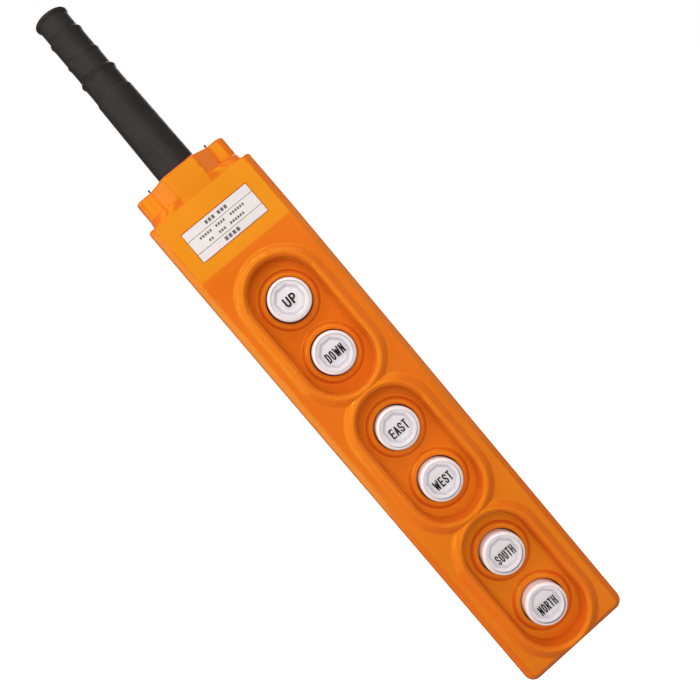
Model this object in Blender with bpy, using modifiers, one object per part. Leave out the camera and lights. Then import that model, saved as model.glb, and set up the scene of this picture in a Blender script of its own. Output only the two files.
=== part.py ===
"""Six-button pendant control station for a hoist, as an assembly of separate pieces.

The pendant hangs: +Z runs up along it to the cable sleeve, the buttons face -Y, and
+X is to the right of someone who looks at the buttons. The origin is the centre of the
sleeve's mouth, where the cable comes in.
"""
import math

import bmesh
import bpy

MM = 0.001

# Case: outline seen from the front
BODY_HALF_WIDTH = 31.8 * MM
NECK_HALF_WIDTH = 27.5 * MM
NECK_TOP_Z = -97.5 * MM
BODY_TOP_Z = -113.5 * MM
BODY_BOTTOM_Z = -410.5 * MM
BOTTOM_CORNER = 5.5 * MM

# Case: depths along Y, the parting plane at zero
FACE_Y = -18.0 * MM
REAR_Y = 25.0 * MM
PARTING_GAP = 0.15 * MM
WALL = 3.0 * MM
RIM_WALL = 3.6 * MM
SIDE_ROUNDING = 4.0 * MM
LABEL_CREASE_Z = -150.0 * MM
LABEL_TOP_Y = -15.0 * MM
LEDGE_Z = -108.5 * MM
GAP = 0.3 * MM

# Neck: plan seen from above, half of it on each cover
NECK_FACET_HALF = 9.2 * MM
NECK_FACET_Y = 14.7 * MM
NECK_SHOULDER_HALF = 18.2 * MM
NECK_SHOULDER_Y = 6.5 * MM
NECK_INNER_FACET = 8.0 * MM
NECK_INNER_FACET_Y = 12.0 * MM
NECK_INNER_SHOULDER = 16.8 * MM
NECK_INNER_SHOULDER_Y = 4.3 * MM
NECK_INNER_HALF = 24.0 * MM
NECK_ROOF = 4.0 * MM

# Buttons: three pairs, each pair in a guarded recess
BUTTON_PITCH = 34.0 * MM
PAIR_PITCH = 83.0 * MM
FIRST_PAIR_Z = -199.5 * MM
BUTTON_TRAVEL = 4.5 * MM
PAIRS = (("up", "down"), ("east", "west"), ("south", "north"))
COLLAR_Y = -13.0 * MM
COLLAR_RADIUS = 14.5 * MM
BORE_RADIUS = 11.8 * MM
RECESS_Y = -10.5 * MM
GUARD_HALF_WIDTH = 20.65 * MM
GUARD_HALF_LENGTH = 40.75 * MM
GUARD_RADIUS = 2.2 * MM
GUARD_CREST_Y = -20.8 * MM
CAP_RADIUS = 11.2 * MM
CAP_TOP_Y = -19.2 * MM
CAP_WALL = 1.5 * MM
CAP_FLANGE_RADIUS = 13.0 * MM
CAP_BACK_Y = -5.7 * MM
CAP_FLANGE_Y = -7.2 * MM
STEM_RADIUS = 3.2 * MM
STEM_HEAD_BACK_Y = -14.3 * MM
STEM_BORE = STEM_RADIUS + GAP

# Sleeve
SLEEVE_BORE = 6.5 * MM
SLEEVE_NECK_RADIUS = 11.05 * MM
SLEEVE_TAIL_RADIUS = 9.5 * MM
SLEEVE_END_Z = -112.0 * MM
FLANGE_TOP_Z = -101.8 * MM
FLANGE_BOTTOM_Z = -105.0 * MM
RETAINER_THICKNESS = 1.6 * MM

# Switch chamber
SEAL_Y = 0.0
SEAL_THICKNESS = 1.2 * MM
BLOCK_HALF_WIDTH = 16.0 * MM
BLOCK_HALF_LENGTH = 33.0 * MM
BLOCK_BACK_Y = 16.0 * MM
BLOCK_WALL = 2.0 * MM
CONTACT_THICKNESS = 1.0 * MM
CONTACT_HALF_WIDTH = 2.5 * MM
BRIDGE_Y = 5.8 * MM
BRIDGE_REACH = 8.5 * MM
TERMINAL_Y = BRIDGE_Y + CONTACT_THICKNESS + BUTTON_TRAVEL + GAP
TERMINAL_TIP = 20.5 * MM
WIRE_HOLE_X = 18.2 * MM
WIRE_HOLE_RADIUS = 1.3 * MM

# Fasteners
BOSS_X = 24.8 * MM
BOSS_Z = (-128.0 * MM, -241.0 * MM, -400.0 * MM)
BOSS_RADIUS = 4.2 * MM
COLUMN_RADIUS = 5.0 * MM
PILLAR_RADIUS = 3.4 * MM
COUNTERBORE_RADIUS = 3.6 * MM
COUNTERBORE_Y = 20.0 * MM
COVER_SCREW_RADIUS = 1.6 * MM
BLOCK_SCREW_RADIUS = 1.4 * MM
CLAMP_SCREW_RADIUS = 0.9 * MM
CLAMP_SCREW_X = 18.0 * MM
CLAMP_SCREW_Y = -2.6 * MM
CLAMP_TIP_RADIUS = 0.5 * MM

# Nameplate
PLATE_WIDTH = 40.2 * MM
PLATE_HEIGHT = 17.2 * MM
PLATE_THICKNESS = 0.6 * MM
PLATE_Z = -133.8 * MM

ROUND_STEPS = 24
FACING_FRONT = (math.radians(90), 0.0, 0.0)
FACING_SIDE = (math.radians(90), 0.0, math.radians(90))
UPRIGHT = (0.0, 0.0, 0.0)


# ---------------------------------------------------------------- scene and materials

def clear_scene():
    for item in list(bpy.data.objects):
        bpy.data.objects.remove(item, do_unlink=True)


def new_collection(name):
    collection = bpy.data.collections.new(name)
    bpy.context.scene.collection.children.link(collection)
    return collection


def make_material(name, colour, roughness, metallic=0.0, alpha=1.0):
    material = bpy.data.materials.new(name)
    material.use_nodes = True
    shader = material.node_tree.nodes["Principled BSDF"]
    shader.inputs["Base Color"].default_value = (*colour, 1.0)
    shader.inputs["Roughness"].default_value = roughness
    shader.inputs["Metallic"].default_value = metallic
    shader.inputs["Alpha"].default_value = alpha
    material.diffuse_color = (*colour, alpha)
    return material


clear_scene()
PARTS = new_collection("pendant_control_station")
CUTTERS = new_collection("cutters")

ORANGE = make_material("orange_plastic", (0.84, 0.24, 0.012), 0.28)
BLACK_RUBBER = make_material("black_rubber", (0.018, 0.015, 0.014), 0.55)
CLEAR_CAP = make_material("clear_cap", (0.86, 0.82, 0.84), 0.12, alpha=0.5)
WHITE_PLASTIC = make_material("white_plastic", (0.82, 0.80, 0.82), 0.35)
LABEL = make_material("label_film", (0.80, 0.74, 0.72), 0.45)
BLACK_PLASTIC = make_material("black_plastic", (0.03, 0.03, 0.032), 0.45)
STEEL = make_material("zinc_steel", (0.60, 0.61, 0.62), 0.32, metallic=1.0)
DARK_STEEL = make_material("black_steel", (0.05, 0.05, 0.05), 0.4, metallic=1.0)
BRASS = make_material("brass", (0.72, 0.50, 0.20), 0.3, metallic=1.0)


# ---------------------------------------------------------------- modelling helpers

def add_object(name, data, material=None):
    """Link a new object: a part when it has a material, otherwise a hidden cutter."""
    item = bpy.data.objects.new(name, data)
    if material is None:
        CUTTERS.objects.link(item)
        item.hide_render = True
        item.display_type = "WIRE"
    else:
        PARTS.objects.link(item)
        data.materials.append(material)
    return item


def box(name, low, high, material=None):
    mesh = bpy.data.meshes.new(name)
    shape = bmesh.new()
    bmesh.ops.create_cube(shape, size=1.0)
    for vertex in shape.verts:
        vertex.co = [a + (b - a) * (c + 0.5) for a, b, c in zip(low, high, vertex.co)]
    shape.to_mesh(mesh)
    shape.free()
    return add_object(name, mesh, material)


def arc(centre, radius, start, end, steps):
    """Points of an arc in degrees, both ends included."""
    points = []
    for step in range(steps + 1):
        angle = math.radians(start + (end - start) * step / steps)
        points.append((centre[0] + radius * math.cos(angle), centre[1] + radius * math.sin(angle)))
    return points


def turned(name, profile, place, rotation, material=None, steps=ROUND_STEPS, ring=False):
    """A solid of revolution about local Z: (radius, height) points, outer side top to bottom."""
    mesh = bpy.data.meshes.new(name)
    count = len(profile)
    edges = [(i, i + 1) for i in range(count - 1)]
    if ring:
        edges.append((count - 1, 0))
    mesh.from_pydata([(radius, 0.0, height) for radius, height in profile], edges, [])
    item = add_object(name, mesh, material)
    item.location = place
    item.rotation_euler = rotation
    screw = item.modifiers.new("turn", "SCREW")
    screw.steps = steps
    screw.render_steps = steps
    screw.use_merge_vertices = True
    screw.merge_threshold = 0.00001
    screw.use_smooth_shade = False
    return item


def cylinder(name, radius, low, high, place, rotation, material=None, steps=ROUND_STEPS):
    profile = [(0.0, high), (radius, high), (radius, low), (0.0, low)]
    return turned(name, profile, place, rotation, material, steps)


def front_cylinder(name, radius, y_front, y_back, x, z, material=None, steps=ROUND_STEPS):
    """A cylinder along Y between two depths."""
    return cylinder(name, radius, -y_back, -y_front, (x, 0.0, z), FACING_FRONT, material, steps)


def as_mesh(curve_object, material=None):
    """Replace a curve object by a closed mesh object in the same place."""
    bpy.context.view_layer.update()
    evaluated = curve_object.evaluated_get(bpy.context.evaluated_depsgraph_get())
    mesh = bpy.data.meshes.new_from_object(evaluated)
    shape = bmesh.new()
    shape.from_mesh(mesh)
    bmesh.ops.remove_doubles(shape, verts=shape.verts, dist=0.000005)
    bmesh.ops.dissolve_limit(shape, angle_limit=0.002, verts=shape.verts, edges=shape.edges)
    bmesh.ops.recalc_face_normals(shape, faces=shape.faces)
    shape.to_mesh(mesh)
    shape.free()
    name = curve_object.name
    mesh.transform(curve_object.matrix_world)
    for vertex in mesh.vertices:
        vertex.co = [round(value, 6) for value in vertex.co]
    bpy.data.objects.remove(curve_object, do_unlink=True)
    mesh.materials.clear()
    return add_object(name, mesh, material)


def flat_curve(name, outlines, place=(0.0, 0.0, 0.0), rotation=UPRIGHT):
    """Closed outlines as one 2D curve object."""
    curve = bpy.data.curves.new(name, "CURVE")
    curve.dimensions = "2D"
    for outline in outlines:
        spline = curve.splines.new("POLY")
        spline.points.add(len(outline) - 1)
        for point, (u, v) in zip(spline.points, outline):
            point.co = (u, v, 0.0, 1.0)
        spline.use_cyclic_u = True
    item = bpy.data.objects.new(name, curve)
    item.location = place
    item.rotation_euler = rotation
    CUTTERS.objects.link(item)
    return item


def plate(name, outlines, low, high, rotation, material=None):
    """A flat shape: its outline, then any holes, spread from low to high along local Z."""
    middle = (low + high) / 2
    if rotation == FACING_FRONT:
        place = (0.0, -middle, 0.0)
    elif rotation == FACING_SIDE:
        place = (middle, 0.0, 0.0)
    else:
        place = (0.0, 0.0, middle)
    item = flat_curve(name, outlines, place, rotation)
    item.data.fill_mode = "BOTH"
    item.data.extrude = (high - low) / 2
    return as_mesh(item, material)


def front_plate(name, outlines, y_front, y_back, material=None):
    """A flat shape in the XZ plane between two depths."""
    return plate(name, outlines, -y_back, -y_front, FACING_FRONT, material)


def combine(target, operation, others):
    """One Boolean modifier that takes all its operands from a collection."""
    group = bpy.data.collections.new(f"{target.name}_{operation.lower()}_{len(target.modifiers)}")
    CUTTERS.children.link(group)
    for other in others:
        CUTTERS.objects.unlink(other)
        group.objects.link(other)
    boolean = target.modifiers.new(group.name, "BOOLEAN")
    boolean.operation = operation
    boolean.operand_type = "COLLECTION"
    boolean.collection = group
    boolean.solver = "EXACT"


def cut(target, *cutters):
    combine(target, "DIFFERENCE", cutters)


def join(target, *others):
    combine(target, "UNION", others)


def round_edges(item, radius, steps, chosen):
    """Round the edges that pass the test."""
    shape = bmesh.new()
    shape.from_mesh(item.data)
    shape.normal_update()
    edges = [edge for edge in shape.edges if chosen(edge)]
    bmesh.ops.bevel(shape, geom=edges, offset=radius, segments=steps, profile=0.5, affect="EDGES")
    shape.to_mesh(item.data)
    shape.free()


def rim_edge(edge, side):
    """Is this an edge between the face on one Y side and a wall that isn't the top?"""
    facing = [side * face.normal.y for face in edge.link_faces]
    top = max(face.normal.z for face in edge.link_faces)
    return max(facing) > 0.9 and min(facing) < 0.3 and top < 0.95


def slice_off(item, point, normal):
    """Remove what lies beyond a plane, and close the mesh again."""
    shape = bmesh.new()
    shape.from_mesh(item.data)
    everything = shape.verts[:] + shape.edges[:] + shape.faces[:]
    bmesh.ops.bisect_plane(shape, geom=everything, plane_co=point, plane_no=normal, clear_outer=True)
    open_edges = [edge for edge in shape.edges if edge.is_boundary]
    bmesh.ops.contextual_create(shape, geom=open_edges)
    bmesh.ops.recalc_face_normals(shape, faces=shape.faces)
    shape.to_mesh(item.data)
    shape.free()


# ---------------------------------------------------------------- outlines

def mirrored(right_side):
    """Complete a symmetric outline from its right half, bottom to top."""
    left_side = [(-u, v) for u, v in reversed(right_side)]
    return right_side + left_side


def body_outline(inset):
    """The case body from the front, without its neck."""
    half = BODY_HALF_WIDTH - inset
    bottom = BODY_BOTTOM_Z + inset
    top = BODY_TOP_Z - inset
    corner = max(BOTTOM_CORNER - inset, 1.0 * MM)
    right = arc((half - corner, bottom + corner), corner, -90, 0, 5)
    right.append((half, top))
    return mirrored(right)


def neck_plan(side, facet, facet_y, shoulder, shoulder_y, half, past):
    """One cover's half of the neck from above; side is -1 for the front, 1 for the rear."""
    right = [(facet, side * facet_y), (shoulder, side * shoulder_y), (half, side * shoulder_y)]
    right.append((half, -side * past))
    return right + [(-u, v) for u, v in reversed(right)]


def outer_neck_plan(side):
    return neck_plan(side, NECK_FACET_HALF, NECK_FACET_Y, NECK_SHOULDER_HALF, NECK_SHOULDER_Y,
                     NECK_HALF_WIDTH, 2 * MM)


def inner_neck_plan(side):
    return neck_plan(side, NECK_INNER_FACET, NECK_INNER_FACET_Y, NECK_INNER_SHOULDER,
                     NECK_INNER_SHOULDER_Y, NECK_INNER_HALF, 2 * MM)


def stadium(centre_z, half_width, half_length, steps=12):
    """A slot shape with round ends, long way up."""
    straight = half_length - half_width
    points = arc((0.0, centre_z - straight), half_width, 180, 360, steps)
    points += arc((0.0, centre_z + straight), half_width, 0, 180, steps)
    return points


def rectangle(low_u, low_v, high_u, high_v):
    return [(low_u, low_v), (high_u, low_v), (high_u, high_v), (low_u, high_v)]


def circle(u, v, radius, steps=ROUND_STEPS):
    return arc((u, v), radius, 0, 360 - 360 / steps, steps - 1)


def pair_centres():
    return [FIRST_PAIR_Z - index * PAIR_PITCH for index in range(len(PAIRS))]


def button_places():
    """Name and height of each button, top to bottom."""
    places = []
    for centre, (upper, lower) in zip(pair_centres(), PAIRS):
        places.append((upper, centre + BUTTON_PITCH / 2))
        places.append((lower, centre - BUTTON_PITCH / 2))
    return places


def boss_places():
    return [(side * BOSS_X, z) for z in BOSS_Z for side in (-1, 1)]


# ---------------------------------------------------------------- covers

def label_slope():
    return math.atan2(LABEL_TOP_Y - FACE_Y, BODY_TOP_Z - LABEL_CREASE_Z)


def label_face_y(z):
    return FACE_Y + (z - LABEL_CREASE_Z) * math.tan(label_slope())


def outer_neck(side, word):
    """The neck block and its sloping ledge."""
    neck = plate(word + "_neck", [outer_neck_plan(side)], BODY_TOP_Z - 2 * MM, NECK_TOP_Z, UPRIGHT)
    edge_y = side * (NECK_FACET_Y + 0.1 * MM)
    ledge = [(edge_y, BODY_TOP_Z - 1.5 * MM), (edge_y, BODY_TOP_Z + 0.1 * MM),
             (side * (NECK_SHOULDER_Y - 0.5 * MM), LEDGE_Z), (-side * MM, LEDGE_Z),
             (-side * MM, BODY_TOP_Z - 1.5 * MM)]
    half = NECK_HALF_WIDTH - 0.2 * MM
    return [neck, plate(word + "_ledge", [ledge], -half, half, FACING_SIDE)]


def neck_hollow(side, word):
    """What is cut from the neck: its inside, and the hole for the sleeve."""
    roof = NECK_TOP_Z - NECK_ROOF
    hollow = plate(word + "_neck_hollow", [inner_neck_plan(side)], BODY_TOP_Z - 6 * MM, roof, UPRIGHT)
    hole = cylinder(word + "_sleeve_hole", SLEEVE_NECK_RADIUS + GAP, roof - 2 * MM, NECK_TOP_Z + 2 * MM,
                    (0.0, 0.0, 0.0), UPRIGHT)
    return [hollow, hole]


def guard(index, centre):
    """The round-topped wall that stands around a pair of buttons."""
    ridge_y = GUARD_CREST_Y + GUARD_RADIUS
    foot = ridge_y - (RECESS_Y + MM)
    section = arc((0.0, 0.0), GUARD_RADIUS, 0, 180, 4) + [(-GUARD_RADIUS, foot), (GUARD_RADIUS, foot)]
    profile = flat_curve(f"guard_section_{index}", [section])
    path = stadium(centre, GUARD_HALF_WIDTH, GUARD_HALF_LENGTH, 10)
    wall = flat_curve(f"guard_{index}", [path], (0.0, ridge_y, 0.0), FACING_FRONT)
    wall.data.bevel_mode = "OBJECT"
    wall.data.bevel_object = profile
    item = as_mesh(wall)
    bpy.data.objects.remove(profile, do_unlink=True)
    return item


def recess(index, centre):
    width = GUARD_HALF_WIDTH - 0.65 * MM
    length = GUARD_HALF_LENGTH - 0.65 * MM
    return front_plate(f"recess_{index}", [stadium(centre, width, length)], -30 * MM, RECESS_Y)


def front_chamber():
    """What is cut from the front cover's inside."""
    floor_back = RECESS_Y + WALL
    inner = BODY_HALF_WIDTH - RIM_WALL
    channel = GUARD_HALF_WIDTH - GUARD_RADIUS + WALL
    low_z = BODY_BOTTOM_Z + RIM_WALL + 3 * MM
    cutters = [front_plate("front_chamber", [body_outline(RIM_WALL)], floor_back, 5 * MM)]
    for side, word in ((-1, "left"), (1, "right")):
        reach = sorted((side * channel, side * (inner - 0.4 * MM)))
        cutters.append(box(word + "_channel", (reach[0], FACE_Y + WALL, low_z),
                           (reach[1], floor_back + MM, BODY_TOP_Z - 8 * MM)))
    cutters.append(box("label_channel", (-channel - MM, LABEL_TOP_Y + 2.5 * MM, LABEL_CREASE_Z - 7 * MM),
                       (channel + MM, floor_back + MM, BODY_TOP_Z - 4.2 * MM)))
    return cutters


def nameplate_recess():
    pocket = box("nameplate_recess",
                 (-PLATE_WIDTH / 2 - GAP, -2 * MM, -PLATE_HEIGHT / 2 - GAP),
                 (PLATE_WIDTH / 2 + GAP, 0.8 * MM, PLATE_HEIGHT / 2 + GAP))
    pocket.location = (0.0, label_face_y(PLATE_Z), PLATE_Z)
    pocket.rotation_euler = (-label_slope(), 0.0, 0.0)
    return pocket


def front_cover():
    cover = front_plate("front_cover", [body_outline(0.0)], FACE_Y, 4 * MM, ORANGE)
    slope = label_slope()
    slice_off(cover, (0.0, FACE_Y, LABEL_CREASE_Z), (0.0, -math.cos(slope), math.sin(slope)))
    round_edges(cover, SIDE_ROUNDING, 3, lambda edge: rim_edge(edge, -1))
    centres = list(enumerate(pair_centres()))
    cut(cover, *[recess(index, centre) for index, centre in centres])
    join(cover, *outer_neck(-1, "front"), *[guard(index, centre) for index, centre in centres])
    parting = box("front_parting", (-50 * MM, -PARTING_GAP, BODY_BOTTOM_Z - 9 * MM),
                  (50 * MM, 50 * MM, 9 * MM))
    cut(cover, parting, nameplate_recess(), *front_chamber(), *neck_hollow(-1, "front"))
    floor_back = RECESS_Y + WALL
    supports = [front_cylinder("collar_" + name, COLLAR_RADIUS, COLLAR_Y, -9 * MM, 0.0, z)
                for name, z in button_places()]
    for index, (x, z) in enumerate(boss_places(), 1):
        start = LABEL_TOP_Y + MM if z > LABEL_CREASE_Z else FACE_Y + 2 * MM
        supports.append(front_cylinder(f"boss_{index}", BOSS_RADIUS, start, -0.35 * MM, x, z, steps=16))
    supports += [front_cylinder(f"pillar_{index}", PILLAR_RADIUS, floor_back - MM, SEAL_Y - GAP, 0.0, z,
                                steps=16)
                 for index, z in enumerate(pair_centres(), 1)]
    join(cover, *supports)
    cut(cover, *front_holes())


def front_holes():
    """Button bores and screw holes of the front cover."""
    holes = [front_cylinder("bore_" + name, BORE_RADIUS, -20 * MM, 5 * MM, 0.0, z)
             for name, z in button_places()]
    holes += [front_cylinder(f"boss_hole_{index}", COVER_SCREW_RADIUS + GAP, -12.5 * MM, 2 * MM, x, z,
                             steps=12)
              for index, (x, z) in enumerate(boss_places(), 1)]
    holes += [front_cylinder(f"pillar_hole_{index}", BLOCK_SCREW_RADIUS + GAP, -6 * MM, 2 * MM, 0.0, z,
                             steps=12)
              for index, z in enumerate(pair_centres(), 1)]
    holes += [cylinder(f"clamp_hole_{word}", CLAMP_SCREW_RADIUS + GAP, NECK_TOP_Z - 6 * MM,
                       NECK_TOP_Z + MM, (side * CLAMP_SCREW_X, CLAMP_SCREW_Y, 0.0), UPRIGHT, steps=12)
              for side, word in ((-1, "left"), (1, "right"))]
    return holes


def rear_cover():
    cover = front_plate("rear_cover", [body_outline(0.0)], -4 * MM, REAR_Y, ORANGE)
    round_edges(cover, SIDE_ROUNDING, 3, lambda edge: rim_edge(edge, 1))
    join(cover, *outer_neck(1, "rear"))
    parting = box("rear_parting", (-50 * MM, -50 * MM, BODY_BOTTOM_Z - 9 * MM),
                  (50 * MM, PARTING_GAP, 9 * MM))
    chamber = front_plate("rear_chamber", [body_outline(RIM_WALL)], -6 * MM, REAR_Y - WALL)
    step = front_plate("gasket_step", [body_outline(1.7 * MM)], -5 * MM, 1.95 * MM)
    cut(cover, parting, chamber, step, *neck_hollow(1, "rear"))
    join(cover, *[front_cylinder(f"column_{index}", COLUMN_RADIUS, 2.4 * MM, REAR_Y - 2 * MM, x, z, steps=16)
                  for index, (x, z) in enumerate(boss_places(), 1)])
    holes = []
    for index, (x, z) in enumerate(boss_places(), 1):
        holes.append(front_cylinder(f"column_hole_{index}", COVER_SCREW_RADIUS + GAP, -2 * MM,
                                    COUNTERBORE_Y + MM, x, z, steps=12))
        holes.append(front_cylinder(f"counterbore_{index}", COUNTERBORE_RADIUS, COUNTERBORE_Y, REAR_Y + MM,
                                    x, z, steps=16))
    cut(cover, *holes)


def cover_gasket():
    """A flat rubber strip on the rear cover's step, open at the neck."""
    strip = front_plate("cover_gasket", [body_outline(2.0 * MM), body_outline(3.4 * MM)],
                        0.15 * MM, 1.65 * MM, BLACK_RUBBER)
    opening = box("gasket_opening", (-NECK_INNER_HALF, -MM, BODY_TOP_Z - 6 * MM),
                  (NECK_INNER_HALF, 3 * MM, BODY_TOP_Z + MM))
    cut(strip, opening)


def nameplate():
    name = box("nameplate", (-PLATE_WIDTH / 2, -0.1 * MM, -PLATE_HEIGHT / 2),
               (PLATE_WIDTH / 2, PLATE_THICKNESS - 0.1 * MM, PLATE_HEIGHT / 2), LABEL)
    name.location = (0.0, label_face_y(PLATE_Z), PLATE_Z)
    name.rotation_euler = (-label_slope(), 0.0, 0.0)


# ---------------------------------------------------------------- cable entry

def rubber_sleeve():
    """A stepped, tapering sleeve with a flange that the neck holds."""
    outside = [(7.3, 0.0), (9.0, 0.0), (9.25, -0.4), (9.25, -1.4), (8.45, -2.4), (8.4, -10.7),
               (9.35, -11.5), (8.95, -13.4), (8.95, -23.7), (9.5, -24.4), (9.1, -26.0), (9.15, -34.8),
               (10.35, -35.7), (9.6, -37.6), (9.75, -47.4), (10.25, -48.1), (10.25, -49.9)]
    profile = [(radius * MM, height * MM) for radius, height in outside]
    profile += [(SLEEVE_NECK_RADIUS, NECK_TOP_Z), (SLEEVE_NECK_RADIUS, FLANGE_TOP_Z - 1.2 * MM),
                (SLEEVE_TAIL_RADIUS, FLANGE_TOP_Z - 2.2 * MM), (SLEEVE_TAIL_RADIUS, SLEEVE_END_Z),
                (SLEEVE_BORE, SLEEVE_END_Z), (SLEEVE_BORE, -1.2 * MM)]
    sleeve = turned("rubber_sleeve", profile, (0, 0, 0), UPRIGHT, BLACK_RUBBER, ring=True)
    half = 14 * MM
    rim = [(7.5 * MM, -11.4 * MM), (half, -5.7 * MM), (half, 5.7 * MM), (7.5 * MM, 11.4 * MM)]
    rim += [(-u, v) for u, v in reversed(rim)]
    flange = plate("sleeve_flange", [rim, circle(0.0, 0.0, 8 * MM)], FLANGE_BOTTOM_Z, FLANGE_TOP_Z, UPRIGHT)
    join(sleeve, flange)


def sleeve_retainer():
    """The steel plate that clamps the sleeve's flange against the neck's roof."""
    right = [(7.5, -11.4), (16.3, -4.0), (20.5, -4.0), (20.5, 4.0), (16.3, 4.0), (7.5, 11.4)]
    outline = mirrored([(u * MM, v * MM) for u, v in right])
    holes = [circle(0.0, 0.0, 9.8 * MM)]
    for side in (-1, 1):
        holes.append(circle(side * CLAMP_SCREW_X, CLAMP_SCREW_Y, CLAMP_SCREW_RADIUS + GAP, 12))
    top = FLANGE_BOTTOM_Z - GAP
    plate("sleeve_retainer", [outline] + holes, top - RETAINER_THICKNESS, top, UPRIGHT, STEEL)


def clamp_screws():
    """Screws that pull the retainer up; their thin points show above the neck."""
    tip = NECK_TOP_Z + 2.1 * MM
    shoulder = NECK_TOP_Z - 0.3 * MM
    seat = FLANGE_BOTTOM_Z - RETAINER_THICKNESS - 2 * GAP
    foot = seat - 1.6 * MM
    head = 1.4 * MM
    profile = [(0.0, tip), (CLAMP_TIP_RADIUS - 0.15 * MM, tip), (CLAMP_TIP_RADIUS, tip - 0.2 * MM),
               (CLAMP_TIP_RADIUS, shoulder), (CLAMP_SCREW_RADIUS, shoulder - 0.4 * MM),
               (CLAMP_SCREW_RADIUS, seat), (head, seat), (head, foot), (0.0, foot)]
    for side, word in ((-1, "left"), (1, "right")):
        turned(f"retainer_screw_{word}", profile, (side * CLAMP_SCREW_X, CLAMP_SCREW_Y, 0.0), UPRIGHT,
               DARK_STEEL, steps=12)


# ---------------------------------------------------------------- buttons

def button_cap(name, z):
    """A clear cup that slides in the collar, with a flange behind the cover."""
    top = -CAP_TOP_Y
    skirt = -CAP_BACK_Y
    flange = -CAP_FLANGE_Y
    inner = CAP_RADIUS - 1.6 * MM
    profile = [(0.0, top), (8.6 * MM, top - 0.1 * MM), (10.3 * MM, top - 0.6 * MM),
               (CAP_RADIUS, top - 1.6 * MM), (CAP_RADIUS, flange), (CAP_FLANGE_RADIUS, flange),
               (CAP_FLANGE_RADIUS, skirt), (inner, skirt), (inner, top - CAP_WALL),
               (0.0, top - CAP_WALL)]
    turned("button_cap_" + name, profile, (0.0, 0.0, z), FACING_FRONT, CLEAR_CAP)


def legend_plate(name, z):
    """The octagonal insert that carries the legend, under the cap's lens."""
    mesh = bpy.data.meshes.new("legend_plate_" + name)
    shape = bmesh.new()
    bmesh.ops.create_cone(shape, cap_ends=True, segments=8, radius1=8.3 * MM, radius2=7.75 * MM,
                          depth=1.2 * MM)
    shape.to_mesh(mesh)
    shape.free()
    item = add_object("legend_plate_" + name, mesh, WHITE_PLASTIC)
    item.location = (0.0, -16.7 * MM, z)
    item.rotation_euler = (math.radians(90), math.radians(22.5), 0.0)


def button_stem(name, z):
    """The plunger: a head under the legend, a shaft through the seal and a riveted end."""
    profile = [(0.0, 15.8), (9.2, 15.8), (9.2, 14.3), (3.2, 14.3), (3.2, -5.5), (2.0, -5.5),
               (2.0, -7.1), (2.9, -7.1), (2.9, -8.6), (0.0, -8.6)]
    turned("button_stem_" + name, [(r * MM, h * MM) for r, h in profile], (0.0, 0.0, z),
           FACING_FRONT, BLACK_PLASTIC, steps=16)


def return_spring(name, z):
    """A compression spring between the stem's head and the seal sheet."""
    wire = 0.5 * MM
    coil = 5.5 * MM
    start = STEM_HEAD_BACK_Y + GAP + wire
    end = SEAL_Y - GAP - wire
    turns = 5
    per_turn = 8
    count = turns * per_turn + 1
    closed = 1.2 * MM
    curve = bpy.data.curves.new("return_spring_" + name, "CURVE")
    curve.dimensions = "3D"
    curve.bevel_depth = wire
    curve.bevel_resolution = 1
    curve.use_fill_caps = True
    spline = curve.splines.new("POLY")
    spline.points.add(count - 1)
    for step, point in enumerate(spline.points):
        turn = step / per_turn
        if turn <= 1:
            y = start + closed * turn
        elif turn >= turns - 1:
            y = end - closed * (turns - turn)
        else:
            y = start + closed + (end - start - 2 * closed) * (turn - 1) / (turns - 2)
        angle = 2 * math.pi * turn
        point.co = (coil * math.cos(angle), y, coil * math.sin(angle), 1.0)
    item = bpy.data.objects.new("return_spring_" + name, curve)
    item.location = (0.0, 0.0, z)
    PARTS.objects.link(item)
    curve.materials.append(STEEL)


def contact_bridge(name, z):
    """The moving brass bar on the stem's end."""
    bar = rectangle(-BRIDGE_REACH, z - CONTACT_HALF_WIDTH, BRIDGE_REACH, z + CONTACT_HALF_WIDTH)
    front_plate("contact_bridge_" + name, [bar, circle(0.0, z, 2.3 * MM, 12)], BRIDGE_Y,
                BRIDGE_Y + CONTACT_THICKNESS, BRASS)


def switch_terminal(name, z):
    """The fixed contact that one button's bridge comes down on."""
    strip = rectangle(3.8 * MM, z - CONTACT_HALF_WIDTH, TERMINAL_TIP, z + CONTACT_HALF_WIDTH)
    front_plate("switch_terminal_" + name, [strip, circle(WIRE_HOLE_X, z, WIRE_HOLE_RADIUS, 12)], TERMINAL_Y,
                TERMINAL_Y + CONTACT_THICKNESS, BRASS)


# ---------------------------------------------------------------- switch chamber

def seal_sheet():
    """One rubber sheet over all the contact blocks, with a hole for each stem and screw."""
    holes = [circle(0.0, z, STEM_BORE, 16) for _, z in button_places()]
    holes += [circle(0.0, z, BLOCK_SCREW_RADIUS + GAP, 12) for z in pair_centres()]
    top = pair_centres()[0] + BLOCK_HALF_LENGTH
    bottom = pair_centres()[-1] - BLOCK_HALF_LENGTH
    outline = rectangle(-19.5 * MM, bottom, 19.5 * MM, top)
    front_plate("button_seal_sheet", [outline] + holes, SEAL_Y, SEAL_Y + SEAL_THICKNESS, BLACK_RUBBER)


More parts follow.
